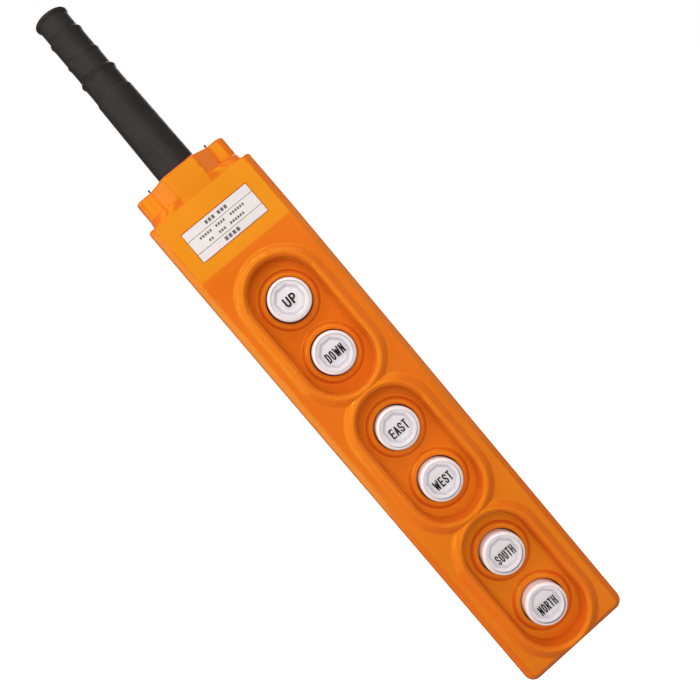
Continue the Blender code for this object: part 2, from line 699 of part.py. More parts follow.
def contact_block(index, centre):
    """The open-backed switch housing of one pair."""
    front = SEAL_Y + SEAL_THICKNESS + GAP
    floor = front + 2.2 * MM
    block = box(f"contact_block_{index}", (-BLOCK_HALF_WIDTH, front, centre - BLOCK_HALF_LENGTH),
                (BLOCK_HALF_WIDTH, BLOCK_BACK_Y, centre + BLOCK_HALF_LENGTH), BLACK_PLASTIC)
    inner_x = BLOCK_HALF_WIDTH - BLOCK_WALL
    inner_z = BLOCK_HALF_LENGTH - BLOCK_WALL
    notch_front = TERMINAL_Y - GAP
    half = CONTACT_HALF_WIDTH + GAP
    cut(block, box(f"block_hollow_{index}", (-inner_x, floor, centre - inner_z),
                   (inner_x, BLOCK_BACK_Y + MM, centre + inner_z)),
        box(f"common_notch_{index}", (-BLOCK_HALF_WIDTH - MM, notch_front, centre - half),
            (MM - inner_x, BLOCK_BACK_Y + 2 * MM, centre + half)))
    post_back = floor + 2.3 * MM
    join(block, front_cylinder(f"block_post_{index}", 4 * MM, floor - MM, post_back, 0.0, centre, steps=16))
    holes = [front_cylinder(f"block_hole_{index}", BLOCK_SCREW_RADIUS + GAP, -MM, post_back + MM,
                            0.0, centre, steps=12)]
    for word, offset in (("upper", BUTTON_PITCH / 2), ("lower", -BUTTON_PITCH / 2)):
        z = centre + offset
        holes.append(front_cylinder(f"stem_guide_{index}_{word}", STEM_BORE, -MM, floor + MM, 0.0, z,
                                    steps=16))
        holes.append(box(f"switch_notch_{index}_{word}", (inner_x - MM, notch_front, z - half),
                         (BLOCK_HALF_WIDTH + MM, BLOCK_BACK_Y + MM, z + half)))
    cut(block, *holes)


def common_terminal(index, centre):
    """The fixed contact that both buttons of a pair share."""
    far = -BRIDGE_REACH
    near = -3.8 * MM
    reach = BUTTON_PITCH / 2 + CONTACT_HALF_WIDTH
    half = CONTACT_HALF_WIDTH
    outline = [(near, centre - reach), (near, centre + reach), (far, centre + reach), (far, centre + half),
               (-TERMINAL_TIP, centre + half), (-TERMINAL_TIP, centre - half), (far, centre - half),
               (far, centre - reach)]
    front_plate(f"common_terminal_{index}", [outline, circle(-WIRE_HOLE_X, centre, WIRE_HOLE_RADIUS, 12)],
                TERMINAL_Y, TERMINAL_Y + CONTACT_THICKNESS, BRASS)


# ---------------------------------------------------------------- screws

def slotted_screw(name, x, z, seat_y, head_radius, head_height, radius, tip_y, steps=16):
    """A screw driven from behind: head towards the rear, tip towards the front."""
    profile = [(0.0, -tip_y), (radius - 0.5 * MM, -tip_y), (radius, -tip_y - 0.8 * MM), (radius, -seat_y),
               (head_radius, -seat_y), (head_radius, -seat_y - head_height),
               (0.0, -seat_y - head_height)]
    screw = turned(name, profile, (x, 0.0, z), FACING_FRONT, STEEL, steps=steps)
    back = seat_y + head_height
    cut(screw, box(name + "_slot", (x - head_radius - MM, back - 0.9 * MM, z - 0.4 * MM),
                   (x + head_radius + MM, back + MM, z + 0.4 * MM)))


def cover_screws():
    for index, (x, z) in enumerate(boss_places(), 1):
        slotted_screw(f"cover_screw_{index}", x, z, COUNTERBORE_Y + GAP, 3.2 * MM, 2.2 * MM,
                      COVER_SCREW_RADIUS, -11 * MM)


def block_screws():
    for index, z in enumerate(pair_centres(), 1):
        slotted_screw(f"block_screw_{index}", 0.0, z, 6.3 * MM, 2.8 * MM, 1.8 * MM, BLOCK_SCREW_RADIUS,
                      -5 * MM)


# ---------------------------------------------------------------- assembly

front_cover()
rear_cover()
cover_gasket()
nameplate()
rubber_sleeve()
sleeve_retainer()
clamp_screws()
seal_sheet()
for button, height in button_places():
    button_cap(button, height)
    legend_plate(button, height)
    button_stem(button, height)
    return_spring(button, height)
    contact_bridge(button, height)
    switch_terminal(button, height)
for number, middle_z in enumerate(pair_centres(), 1):
    contact_block(number, middle_z)
    common_terminal(number, middle_z)
cover_screws()
block_screws()
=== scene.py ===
"""Looks for the pendant control station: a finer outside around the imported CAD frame."""
import math

import bmesh
import bpy
import numpy as np
from mathutils import Matrix, Vector
from mathutils.geometry import delaunay_2d_cdt, tessellate_polygon


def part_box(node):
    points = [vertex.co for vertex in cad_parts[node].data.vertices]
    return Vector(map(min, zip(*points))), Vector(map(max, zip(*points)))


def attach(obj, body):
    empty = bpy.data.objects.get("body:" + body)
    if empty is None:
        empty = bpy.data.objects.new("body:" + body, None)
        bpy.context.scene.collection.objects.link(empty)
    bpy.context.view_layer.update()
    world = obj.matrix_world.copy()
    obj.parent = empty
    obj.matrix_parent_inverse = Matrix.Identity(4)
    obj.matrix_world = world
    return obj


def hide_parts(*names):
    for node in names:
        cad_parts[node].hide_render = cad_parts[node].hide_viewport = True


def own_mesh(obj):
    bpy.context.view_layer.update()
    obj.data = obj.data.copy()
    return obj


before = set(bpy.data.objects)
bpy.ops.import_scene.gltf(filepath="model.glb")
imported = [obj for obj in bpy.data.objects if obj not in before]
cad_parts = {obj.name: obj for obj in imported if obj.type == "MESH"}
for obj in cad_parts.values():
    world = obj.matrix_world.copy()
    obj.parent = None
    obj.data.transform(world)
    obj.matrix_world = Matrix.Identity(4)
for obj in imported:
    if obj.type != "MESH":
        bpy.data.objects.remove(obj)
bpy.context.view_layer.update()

MM = 0.001

# Lengths are in millimetres, in the frame's axes, until a mesh is made. The studio is in metres.
HALF_WIDTH = 31.8
TOP_Z = -113.5
BOTTOM_Z = -410.5
BOTTOM_CORNER = 5.5
LEAST_BOTTOM_CORNER = 0.8
TOP_CORNER = 1.6
FACE_Y = -18.0
REAR_Y = 25.0
SIDE_ROUND = 4.0
TOP_ROUND = 0.7
# Half of the gap between the covers, at the groove and at the neck.
PARTING = 0.15
RIM_WALL = 3.6
INNER_FLOOR_Y = -7.5
CREASE_Z = -150.0
CREASE_BLEND = 1.0
CREASE_LINES = (CREASE_Z - CREASE_BLEND, CREASE_Z, CREASE_Z + CREASE_BLEND)
LABEL_TOP_Y = -15.0
SLOPE = (LABEL_TOP_Y - FACE_Y) / (TOP_Z - CREASE_Z)

GUARD_HALF_WIDTH = 20.65
GUARD_HALF_LENGTH = 40.75
BUTTON_PITCH = 34.0
PAIR_PITCH = 83.0
TOP_PAIR_Z = -199.5
PAIR_CENTRES = tuple(TOP_PAIR_Z - PAIR_PITCH * number for number in range(3))
# The lines where two neighbouring guards' ridges meet.
PAIR_LINES = tuple(centre - PAIR_PITCH / 2 for centre in PAIR_CENTRES[:-1])
BUTTON_NAMES = (("up", "down"), ("east", "west"), ("south", "north"))
BUTTONS = {}
for pair_centre, (upper, lower) in zip(PAIR_CENTRES, BUTTON_NAMES):
    BUTTONS[upper] = pair_centre + BUTTON_PITCH / 2
    BUTTONS[lower] = pair_centre - BUTTON_PITCH / 2
BORE_RADIUS = 11.8
# A triangle is in a bore if its middle is inside the bore's line by this much.
BORE_MARGIN = 0.05

# Ridge: the slope in degrees outside its crest line, and the section inside it. Rows start with the
# distance outwards from the crest line; the section's rows end with the height along Y.
RIDGE_CREST_Y = -20.3
RIDGE_SPREAD = 4.8
RIDGE_ROWS = 18
RIDGE_TILTS = ((0.0, 0.0), (0.9, 25.0), (1.5, 30.0), (3.0, 35.0), (3.6, 37.0), (RIDGE_SPREAD, 0.0))
RIDGE_INSIDE = ((-0.3, -20.25), (-0.6, -20.12), (-1.0, -19.85), (-1.5, -19.48), (-1.75, -19.15),
                (-1.9, -18.65), (-1.98, -18.1), (-2.95, -11.3), (-3.02, -10.95), (-3.15, -10.7),
                (-3.35, -10.55), (-3.6, -10.5))
# Collar section: radius and height along Y.
COLLAR = ((BORE_RADIUS, -12.8), (11.9, -12.94), (12.05, -13.0), (12.9, -13.0), (13.4, -12.95), (13.9, -12.8),
          (14.35, -12.53), (14.75, -12.12), (15.05, -11.6), (15.25, -11.1), (15.5, -10.75), (15.85, -10.56),
          (16.3, -10.5))
# Edge section from the face to the side: share of the rounding still to go, and depth.
EDGE = ((1.0, 0.0), (0.925, 0.06), (0.86, 0.19), (0.8, 0.38), (0.225, 2.45), (0.14, 2.85), (0.07, 3.35),
        (0.025, 3.95), (0.005, 4.6), (0.0, 5.2))

PLATE_Z = -133.8
PLATE_WIDTH = 40.2
PLATE_HEIGHT = 17.2
PLATE_GAP = 0.3
POCKET_HALF_X = PLATE_WIDTH / 2 + PLATE_GAP
POCKET_HALF_Z = PLATE_HEIGHT / 2 + PLATE_GAP
POCKET_CORNER = 0.6
# Label pocket section: distance outwards from its edge, and depth.
POCKET = ((0.25, 0.0), (0.08, 0.03), (0.0, 0.12), (-0.06, 0.8))

# A length under this counts as nothing.
TOUCH = 1e-4
FILL_TOLERANCE = 1e-5
WELD_METRES = 2e-6
# An edge bent by more than this many degrees is sharp.
SHARP_ANGLE = 32.0


# ---------------------------------------------------------------- outlines

def arc(centre, radius, start, end, steps):
    """Points from one angle to another, in degrees."""
    points = []
    for step in range(steps + 1):
        angle = math.radians(start + (end - start) * step / steps)
        points.append((centre[0] + radius * math.cos(angle), centre[1] + radius * math.sin(angle)))
    return points


def body_outline(inset, top_inset):
    """The case from the front; every inset gives the same count of points."""
    half = HALF_WIDTH - inset
    bottom = BOTTOM_Z + inset
    top = TOP_Z - top_inset
    low = max(BOTTOM_CORNER - inset, LEAST_BOTTOM_CORNER)
    right = arc((half - low, bottom + low), low, -90, 0, steps=12)
    right += [(half, z) for z in sorted(PAIR_LINES + CREASE_LINES)]
    right += arc((half - TOP_CORNER, top - TOP_CORNER), TOP_CORNER, 0, 90, steps=8)
    return right + [(-x, z) for x, z in reversed(right)]


def stadium(centre, reach, steps=40):
    """The line at some distance outwards from a guard's crest line."""
    radius = GUARD_HALF_WIDTH + reach
    straight = GUARD_HALF_LENGTH - GUARD_HALF_WIDTH
    points = arc((0.0, centre - straight), radius, 180, 360, steps)
    return points + arc((0.0, centre + straight), radius, 0, 180, steps)


def circle(centre, radius, steps=96):
    return arc(centre, radius, 0, 360 - 360 / steps, steps - 1)


def rounded_box(low_x, low_z, high_x, high_z, radius, steps):
    """A rectangle with round corners, drawn round the centres of its corners."""
    right = arc((high_x, low_z), radius, -90, 0, steps) + arc((high_x, high_z), radius, 0, 90, steps)
    left = arc((low_x, high_z), radius, 90, 180, steps) + arc((low_x, low_z), radius, 180, 270, steps)
    return right + left


def pocket_outline(grow):
    """The edge of the nameplate's pocket, moved outwards by some distance."""
    corner = POCKET_CORNER + grow
    x = POCKET_HALF_X + grow - corner
    z = POCKET_HALF_Z + grow - corner
    return rounded_box(-x, PLATE_Z - z, x, PLATE_Z + z, corner, steps=5)


def ring_distance(x, z, centre):
    """Signed distance outwards from a guard's crest line."""
    straight = GUARD_HALF_LENGTH - GUARD_HALF_WIDTH
    along = z - centre
    along -= max(-straight, min(straight, along))
    return math.hypot(x, along) - GUARD_HALF_WIDTH


def pocket_distance(x, z):
    """Signed distance outwards from the edge of the nameplate's pocket."""
    dx = abs(x) - POCKET_HALF_X + POCKET_CORNER
    dz = abs(z - PLATE_Z) - POCKET_HALF_Z + POCKET_CORNER
    return math.hypot(max(dx, 0), max(dz, 0)) + min(max(dx, dz), 0) - POCKET_CORNER


def along_table(table, value):
    """The height at some distance, between the rows of a section."""
    places, heights = zip(*sorted(table))
    return float(np.interp(value, places, heights))


def plain_face(z):
    """The front face without its ridges; the crease is softened."""
    past = z - CREASE_Z
    if past <= -CREASE_BLEND:
        return FACE_Y
    if past >= CREASE_BLEND:
        return FACE_Y + SLOPE * past
    return FACE_Y + SLOPE * (past + CREASE_BLEND) ** 2 / (4 * CREASE_BLEND)


def ridge_fall(samples=65):
    """Running sum of the ridge's outer slope, as a share of the whole drop to the face."""
    reaches = np.linspace(0.0, RIDGE_SPREAD, samples)
    tilts = np.interp(reaches, *zip(*RIDGE_TILTS))
    steps = np.tan(np.radians((tilts[1:] + tilts[:-1]) / 2))
    drops = np.concatenate(([0.0], np.cumsum(steps)))
    return reaches, drops / drops[-1]


RIDGE_REACHES, RIDGE_DROPS = ridge_fall()


def front_height(x, z):
    """The front's height along Y: recess, collar, ridge, pocket or plain face."""
    for centre in PAIR_CENTRES:
        reach = ring_distance(x, z, centre)
        if reach < -TOUCH:
            for button in BUTTONS.values():
                radius = math.hypot(x, z - button)
                if radius < COLLAR[-1][0]:
                    return along_table(COLLAR, radius)
            return along_table(((0.0, RIDGE_CREST_Y),) + RIDGE_INSIDE, reach)
    face = plain_face(z)
    pocket = pocket_distance(x, z)
    if pocket < POCKET[0][0]:
        return face + along_table(POCKET, pocket)
    height = face
    for centre in PAIR_CENTRES:
        share = float(np.interp(ring_distance(x, z, centre), RIDGE_REACHES, RIDGE_DROPS))
        height = min(height, RIDGE_CREST_Y + (face - RIDGE_CREST_Y) * share)
    return height


# ---------------------------------------------------------------- meshes

class Shell:
    """Points and faces of one closed mesh, gathered in millimetres."""

    def __init__(self):
        self.points = []
        self.faces = []

    def loop(self, points):
        first = len(self.points)
        self.points += points
        return list(range(first, first + len(points)))

    def bridge(self, one, two):
        count = len(one)
        for index in range(count):
            after = (index + 1) % count
            self.faces.append((one[index], one[after], two[after], two[index]))

    def cap(self, loop):
        polygon = [Vector(self.points[index]) for index in loop]
        for triangle in tessellate_polygon([polygon]):
            self.faces.append(tuple(loop[corner] for corner in triangle))

    def walls(self, loops):
        """Faces between each loop and the next; all have the same count of points."""
        for one, two in zip(loops, loops[1:]):
            self.bridge(one, two)

    def closed_loft(self, loops):
        self.walls(loops)
        self.cap(loops[0])
        self.cap(loops[-1])

    def fill(self, loops, lines, inside, height):
        """Triangles between lines drawn on the XZ plane, raised to a height along Y."""
        flat, edges = [], []
        for outline in loops:
            first = len(flat)
            flat += outline
            edges += [(first + i, first + (i + 1) % len(outline)) for i in range(len(outline))]
        for start, end in lines:
            edges.append((len(flat), len(flat) + 1))
            flat += [start, end]
        made = delaunay_2d_cdt([Vector(point) for point in flat], edges, [], 0, FILL_TOLERANCE)
        first = len(self.points)
        self.points += [(v.x, height(v.x, v.y), v.y) for v in made[0]]
        for face in made[2]:
            x = sum(made[0][i].x for i in face) / len(face)
            z = sum(made[0][i].y for i in face) / len(face)
            if inside(x, z):
                self.faces.append(tuple(first + i for i in face))


def finish_mesh(item, sharp):
    """Weld the points, turn the faces outwards, and shade smoothly up to the sharp angle."""
    shape = bmesh.new()
    shape.from_mesh(item.data)
    bmesh.ops.remove_doubles(shape, verts=shape.verts, dist=WELD_METRES)
    loose = [v for v in shape.verts if not v.link_faces]
    bmesh.ops.delete(shape, geom=loose, context="VERTS")
    bmesh.ops.recalc_face_normals(shape, faces=shape.faces)
    shape.to_mesh(item.data)
    shape.free()
    for polygon in item.data.polygons:
        polygon.use_smooth = True
    item.data.set_sharp_from_angle(angle=math.radians(sharp))
    weighted = item.modifiers.new("weighted", "WEIGHTED_NORMAL")
    weighted.keep_sharp = True


def add_piece(name, points, faces, material, body, nodes=(), sharp=SHARP_ANGLE):
    mesh = bpy.data.meshes.new(name)
    mesh.from_pydata([tuple(c * MM for c in point) for point in points], [], faces)
    item = bpy.data.objects.new(name, mesh)
    bpy.context.scene.collection.objects.link(item)
    mesh.materials.append(material)
    finish_mesh(item, sharp)
    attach(item, body)
    if nodes:
        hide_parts(*nodes)
    return item


def turned(shell, profile, place, axis, steps):
    """Rings round an axis; a radius of 0 closes to a point. The profile is (radius, height)."""
    rings = []
    for radius, height in profile:
        if radius == 0:
            rings.append(shell.loop([place(0.0, 0.0, height, axis)]) * steps)
            continue
        ring = []
        for step in range(steps):
            angle = 2 * math.pi * step / steps
            ring.append(place(radius * math.cos(angle), radius * math.sin(angle), height, axis))
        rings.append(shell.loop(ring))
    for one, two in zip(rings, rings[1:]):
        for index in range(steps):
            after = (index + 1) % steps
            corners = tuple(dict.fromkeys((one[index], one[after], two[after], two[index])))
            if len(corners) > 2:
                shell.faces.append(corners)


def upright(u, v, height, centre):
    """Height is Z; centre is (x, y)."""
    return (centre[0] + u, centre[1] + v, height)


def towards_front(u, v, height, centre):
    """Height is Y; centre is (x, z)."""
    return (centre[0] + u, height, centre[1] + v)


# ---------------------------------------------------------------- materials

def surface(name, dark, light, rough, grain, cloud=30.0, bump=0.12, depth=0.00005, **sockets):
    """Two tones mixed by soft noise, uneven roughness, and a fine grain in the bump."""
    material = bpy.data.materials.new(name)
    material.use_nodes = True
    tree = material.node_tree
    shader = tree.nodes["Principled BSDF"]
    place = tree.nodes.new("ShaderNodeTexCoord")

    def noise(scale, detail):
        made = tree.nodes.new("ShaderNodeTexNoise")
        made.inputs["Scale"].default_value = scale
        made.inputs["Detail"].default_value = detail
        tree.links.new(place.outputs["Object"], made.inputs["Vector"])
        return made.outputs["Fac"]

    ramp = tree.nodes.new("ShaderNodeValToRGB")
    ramp.color_ramp.elements[0].position = 0.3
    ramp.color_ramp.elements[1].position = 0.7
    ramp.color_ramp.elements[0].color = (*dark, 1)
    ramp.color_ramp.elements[1].color = (*light, 1)
    tree.links.new(noise(cloud, 5.0), ramp.inputs["Fac"])
    tree.links.new(ramp.outputs["Color"], shader.inputs["Base Color"])
    spread = tree.nodes.new("ShaderNodeMapRange")
    spread.inputs["To Min"].default_value = rough[0]
    spread.inputs["To Max"].default_value = rough[1]
    tree.links.new(noise(cloud * 6, 4.0), spread.inputs["Value"])
    tree.links.new(spread.outputs["Result"], shader.inputs["Roughness"])
    relief = tree.nodes.new("ShaderNodeBump")
    relief.inputs["Strength"].default_value = bump
    relief.inputs["Distance"].default_value = depth
    tree.links.new(noise(grain, 3.0), relief.inputs["Height"])
    tree.links.new(relief.outputs["Normal"], shader.inputs["Normal"])
    for key, value in sockets.items():
        shader.inputs[key.replace("_", " ")].default_value = value
    return material


ORANGE = surface("moulded_orange", (0.725, 0.136, 0.0100), (0.785, 0.154, 0.0140), (0.14, 0.21), 1400.0,
                 Specular_IOR_Level=0.5, Specular_Tint=(0.22, 1.0, 0.02, 1.0))
# Black rubber; it also colours the lens flanges black as painted shade in the gap round each cap.
RUBBER_AND_FLANGE_SHADE = surface("black_rubber", (0.0100, 0.0070, 0.0062), (0.0170, 0.0125, 0.0112), (0.42, 0.54), 900.0,
                 cloud=60.0, bump=0.35, depth=0.0001, Specular_IOR_Level=0.26)
LENS = surface("clear_lens", (0.84, 0.78, 0.83), (0.90, 0.85, 0.90), (0.06, 0.12), 500.0, bump=0.05,
               Alpha=0.10)
SKIRT = surface("milky_skirt", (0.84, 0.75, 0.79), (0.90, 0.82, 0.86), (0.12, 0.2), 500.0, bump=0.05)
LEGEND = surface("legend_white", (0.88, 0.84, 0.90), (0.94, 0.91, 0.96), (0.28, 0.40), 700.0, bump=0.08)
# Painted shade: a darker lavender grey for the walls of the legend's dish.
LEGEND_WALL_SHADE = surface("legend_wall_painted_shade", (0.66, 0.62, 0.70), (0.73, 0.69, 0.77), (0.28, 0.40), 700.0, bump=0.08)
INK = surface("black_ink", (0.005, 0.005, 0.006), (0.010, 0.010, 0.012), (0.45, 0.6), 900.0,
              Specular_IOR_Level=0.15)
PLATE_FILM = surface("plate_film", (0.655, 0.61, 0.63), (0.71, 0.665, 0.685), (0.38, 0.5), 1100.0,
                     cloud=90.0)
PLATE_INK = surface("plate_ink", (0.07, 0.065, 0.065), (0.12, 0.115, 0.115), (0.45, 0.6), 1100.0)
BLACK_PLASTIC = surface("black_nylon", (0.022, 0.022, 0.024), (0.036, 0.036, 0.038), (0.38, 0.5), 1300.0)
WHITE_STEM = surface("white_nylon", (0.68, 0.66, 0.70), (0.76, 0.74, 0.78), (0.35, 0.45), 900.0)
ZINC = surface("zinc_plate", (0.52, 0.53, 0.54), (0.66, 0.67, 0.68), (0.24, 0.38), 1700.0, cloud=220.0,
               Metallic=1.0)
BLACK_STEEL = surface("blackened_steel", (0.045, 0.042, 0.040), (0.075, 0.070, 0.066), (0.32, 0.46), 1700.0,
                      cloud=300.0, Metallic=1.0)
SPRING_STEEL = surface("spring_wire", (0.50, 0.50, 0.50), (0.62, 0.62, 0.63), (0.18, 0.28), 2200.0,
                       cloud=400.0, Metallic=1.0)
BRASS = surface("brass_strip", (0.62, 0.42, 0.15), (0.74, 0.54, 0.24), (0.22, 0.36), 1500.0, cloud=260.0,
                Metallic=1.0)
FLOOR = surface("pale_floor", (0.90, 0.90, 0.90), (0.93, 0.93, 0.93), (0.75, 0.85), 200.0, cloud=6.0,
                bump=0.02, Emission_Color=(1.0, 1.0, 1.0, 1.0), Emission_Strength=0.84)


# ---------------------------------------------------------------- covers

# Rim sections from the side wall inwards: inset, and distance from the parting plane. Both covers have
# half of the groove between them, and the rear one has the gasket's step.
GROOVE_INSET = 0.6
CONTACT = 0.01
GASKET_INSET = 1.7
GASKET_STEP = 1.95
GROOVE = ((0.0, 0.4), (0.25, PARTING), (GROOVE_INSET, PARTING), (GROOVE_INSET, CONTACT))
RIMS = {-1: GROOVE + ((RIM_WALL, CONTACT),),
        1: GROOVE + ((GASKET_INSET, CONTACT), (GASKET_INSET, GASKET_STEP), (RIM_WALL, GASKET_STEP))}


def add_body(shell, side, face, floor_y):
    """The rounded edge, side wall, parting rim and inner wall. Returns the face's edge outline."""
    loops = []
    for share, depth in EDGE:
        outline = body_outline(SIDE_ROUND * share, TOP_ROUND * share)
        loops.append(shell.loop([(x, face(z) - side * depth, z) for x, z in outline]))
    for inset, y in RIMS[side]:
        loops.append(shell.loop([(x, side * y, z) for x, z in body_outline(inset, inset)]))
    loops.append(shell.loop([(x, floor_y, z) for x, z in body_outline(RIM_WALL, RIM_WALL)]))
    shell.walls(loops)
    return body_outline(SIDE_ROUND, TOP_ROUND)


def clipped(points, low, high):
    """The parts of a closed line between two heights."""
    pieces = []
    for start, end in zip(points, points[1:] + points[:1]):
        (x1, z1), (x2, z2) = start, end
        for limit, sign in ((low, 1), (high, -1)):
            one, two = sign * (z1 - limit), sign * (z2 - limit)
            if one < 0 and two < 0:
                break
            if one < 0 <= two or two < 0 <= one:
                share = one / (one - two)
                cut = (x1 + (x2 - x1) * share, limit)
                if one < 0:
                    x1, z1 = cut
                else:
                    x2, z2 = cut
        else:
            if math.hypot(x2 - x1, z2 - z1) > TOUCH:
                pieces.append(((x1, z1), (x2, z2)))
    return pieces


def in_bore(x, z):
    return any(math.hypot(x, z - button) < BORE_RADIUS - BORE_MARGIN for button in BUTTONS.values())


def front_cover():
    shell = Shell()
    outline = add_body(shell, -1, plain_face, INNER_FLOOR_Y)
    edge = HALF_WIDTH - SIDE_ROUND
    loops = [outline]
    lines = [((-edge, z), (edge, z)) for z in PAIR_LINES + CREASE_LINES]
    limits = (0.0,) + PAIR_LINES + (BOTTOM_Z,)
    for centre, high, low in zip(PAIR_CENTRES, limits, limits[1:]):
        loops.append(stadium(centre, 0.0))
        for row in range(1, RIDGE_ROWS + 1):
            lines += clipped(stadium(centre, RIDGE_SPREAD * row / RIDGE_ROWS), low, high)
        loops += [stadium(centre, reach) for reach, _ in RIDGE_INSIDE]
    for button in BUTTONS.values():
        loops += [circle((0.0, button), radius) for radius, _ in COLLAR]
    loops += [pocket_outline(reach) for reach, _ in POCKET]
    shell.fill(loops, lines, lambda x, z: inside_outline(x, z, outline) and not in_bore(x, z), front_height)
    inner = body_outline(RIM_WALL, RIM_WALL)
    bores = [circle((0.0, button), BORE_RADIUS) for button in BUTTONS.values()]
    shell.fill([inner] + bores, [], lambda x, z: inside_outline(x, z, inner) and not in_bore(x, z),
               lambda x, z: INNER_FLOOR_Y)
    for bore in bores:
        top = shell.loop([(x, COLLAR[0][1], z) for x, z in bore])
        low = shell.loop([(x, INNER_FLOOR_Y, z) for x, z in bore])
        shell.bridge(top, low)
    neck(shell, -1)
    ledge(shell, -1)
    add_piece("front_cover_shell", shell.points, shell.faces, ORANGE, "case", ["front_cover"])


def inside_outline(x, z, outline):
    """Whether a ray along +X from the place crosses the outline an odd number of times."""
    found = False
    for (x1, z1), (x2, z2) in zip(outline, outline[1:] + outline[:1]):
        if (z1 > z) != (z2 > z) and x < x1 + (z - z1) / (z2 - z1) * (x2 - x1):
            found = not found
    return found


def rounded_path(corners, steps):
    """An open line whose inner corners are rounded. A corner is (x, y, radius)."""
    places = [Vector(corner[:2]) for corner in corners]
    path = [places[0]]
    for before, here, after, corner in zip(places, places[1:], places[2:], corners[1:]):
        radius = corner[2]
        back = (before - here).normalized()
        ahead = (after - here).normalized()
        half = back.angle(ahead) / 2
        reach = radius / math.tan(half)
        centre = here + (back + ahead).normalized() * (radius / math.sin(half))
        first = here + back * reach - centre
        last = here + ahead * reach - centre
        turn = first.angle_signed(last)
        path += [centre + Matrix.Rotation(-turn * step / steps, 2) @ first for step in range(steps + 1)]
    return path + [places[-1]]


def path_normals(path):
    """Unit normals to the right of a path, which is the inside of a clockwise one."""
    normals = []
    for index in range(len(path)):
        before = path[max(index - 1, 0)]
        after = path[min(index + 1, len(path) - 1)]
        along = (after - before).normalized()
        normals.append(Vector((along.y, -along.x)))
    return normals


def resampled(points, count):
    """The same line with evenly spaced points."""
    path = [Vector(point) for point in points]
    lengths = [0.0]
    for one, two in zip(path, path[1:]):
        lengths.append(lengths[-1] + (two - one).length)
    places = np.linspace(0.0, lengths[-1], count)
    across = np.interp(places, lengths, [v.x for v in path])
    deep = np.interp(places, lengths, [v.y for v in path])
    return [(float(x), float(y)) for x, y in zip(across, deep)]


def mirrored(rows):
    """Rows from one side to the middle, and the same on the other side, in order."""
    return rows + tuple((-row[0], *row[1:]) for row in reversed(rows))


NECK_TOP_Z = -97.5
NECK_HALF_WIDTH = 27.5
NECK_ROUND = 1.5
NECK_ROUND_STEPS = 7
NECK_FOOT_Z = TOP_Z - 2.0
NECK_ROOF_Z = NECK_TOP_Z - 4.0
ROOF_STEP = 0.02
SLEEVE_HOLE_RADIUS = 11.35
# Neck section: place across, depth from the parting plane, and radius of the corner.
NECK_SECTION = mirrored(((-NECK_HALF_WIDTH, PARTING, 0), (-NECK_HALF_WIDTH, 6.5, 4.4), (-18.2, 6.5, 4.0),
                         (-9.2, 14.7, 2.6)))
# The hollow inside the neck, from its right end to its left: place across, and depth.
HOLLOW = mirrored(((24.0, PARTING), (24.0, 4.3), (16.8, 4.3), (8.0, 12.0)))


def add_loft(shell, stations):
    """A closed loft. Each station is its points across and deep, and its z."""
    shell.closed_loft([shell.loop([(x, y, z) for x, y in points]) for points, z in stations])


def neck(shell, side):
    """The neck's half, from its left end round the front and back along the inside."""
    path = rounded_path(NECK_SECTION, steps=8)
    normals = path_normals(path)
    count = 49
    hole = [(SLEEVE_HOLE_RADIUS * math.cos(angle), max(SLEEVE_HOLE_RADIUS * math.sin(angle), PARTING))
            for angle in np.linspace(0, math.pi, count)]
    hollow = resampled(HOLLOW, count)
    stations = []

    def station(inset, inner, z):
        outer = [point + normal * inset for point, normal in zip(path, normals)]
        loop = [(p.x, side * max(p.y, PARTING)) for p in outer]
        stations.append((loop + [(x, side * y) for x, y in inner], z))

    station(0.0, hollow, NECK_FOOT_Z)
    station(0.0, hollow, NECK_ROOF_Z - ROOF_STEP)
    station(0.0, hole, NECK_ROOF_Z)
    for step in range(NECK_ROUND_STEPS + 1):
        angle = math.radians(90 * step / NECK_ROUND_STEPS)
        inset = NECK_ROUND * (1 - math.cos(angle))
        station(inset, hole, NECK_TOP_Z - NECK_ROUND * (1 - math.sin(angle)))
    add_loft(shell, stations)


LEDGE_OVERHANG = 0.7
LEDGE_DEPTH = 14.4
LEDGE_CORNER = 6.0
OVAL_FLAT_X = 9.2
OVAL_SIDE_Y = 6.0
OVAL_RISE = 8.75
OVAL_STEPS = 24
# Ledge rows: share of the way from the body's edge to the oval line, height, and inset.
LEDGE_ROWS = ((0.0, TOP_Z - 1.2, 0.0), (0.0, TOP_Z, 0.0), (0.14, -113.0, 0.0), (0.4, -112.1, 0.0),
              (0.68, -111.0, 0.0), (0.88, -110.2, 0.0), (0.97, -109.85, 0.05), (1.0, -109.68, 0.18),
              (1.0, -109.6, 0.5))


def ledge(shell, side):
    """The shelf between the neck and the body: an oval line above, the body's edge below."""
    count = 81
    half = NECK_HALF_WIDTH + LEDGE_OVERHANG
    edge = mirrored(((-half, PARTING, 0), (-half, LEDGE_DEPTH, LEDGE_CORNER)))
    low = resampled(rounded_path(edge, steps=16), count)
    oval = [(NECK_HALF_WIDTH, PARTING)]
    for step in range(OVAL_STEPS + 1):
        angle = math.radians(90 * step / OVAL_STEPS)
        x = OVAL_FLAT_X + (NECK_HALF_WIDTH - OVAL_FLAT_X) * math.cos(angle)
        oval.append((x, OVAL_SIDE_Y + OVAL_RISE * math.sin(angle)))
    high = resampled(mirrored(tuple(oval)), count)
    high.reverse()
    inner = resampled(HOLLOW, 25)
    stations = []
    for share, z, inset in LEDGE_ROWS:
        loop = []
        for (x1, y1), (x2, y2) in zip(low, high):
            x = x1 + (x2 - x1) * share
            y = y1 + (y2 - y1) * share
            x -= math.copysign(min(inset, abs(x)), x) * abs(x) / half
            loop.append((x, side * max(y - inset * min(y / OVAL_SIDE_Y, 1.0), PARTING)))
        stations.append((loop + [(x, side * y) for x, y in inner], z))
    add_loft(shell, stations)


BACK_WALL = 3.0
WELL_RADIUS = 3.6
WELL_CHAMFER = 0.25
WELL_FLOOR_Y = 20.0
WELL_STEPS = 48
# A triangle is in a screw's well if its middle is nearer to the screw's axis than this.
WELL_INSIDE = 3.58


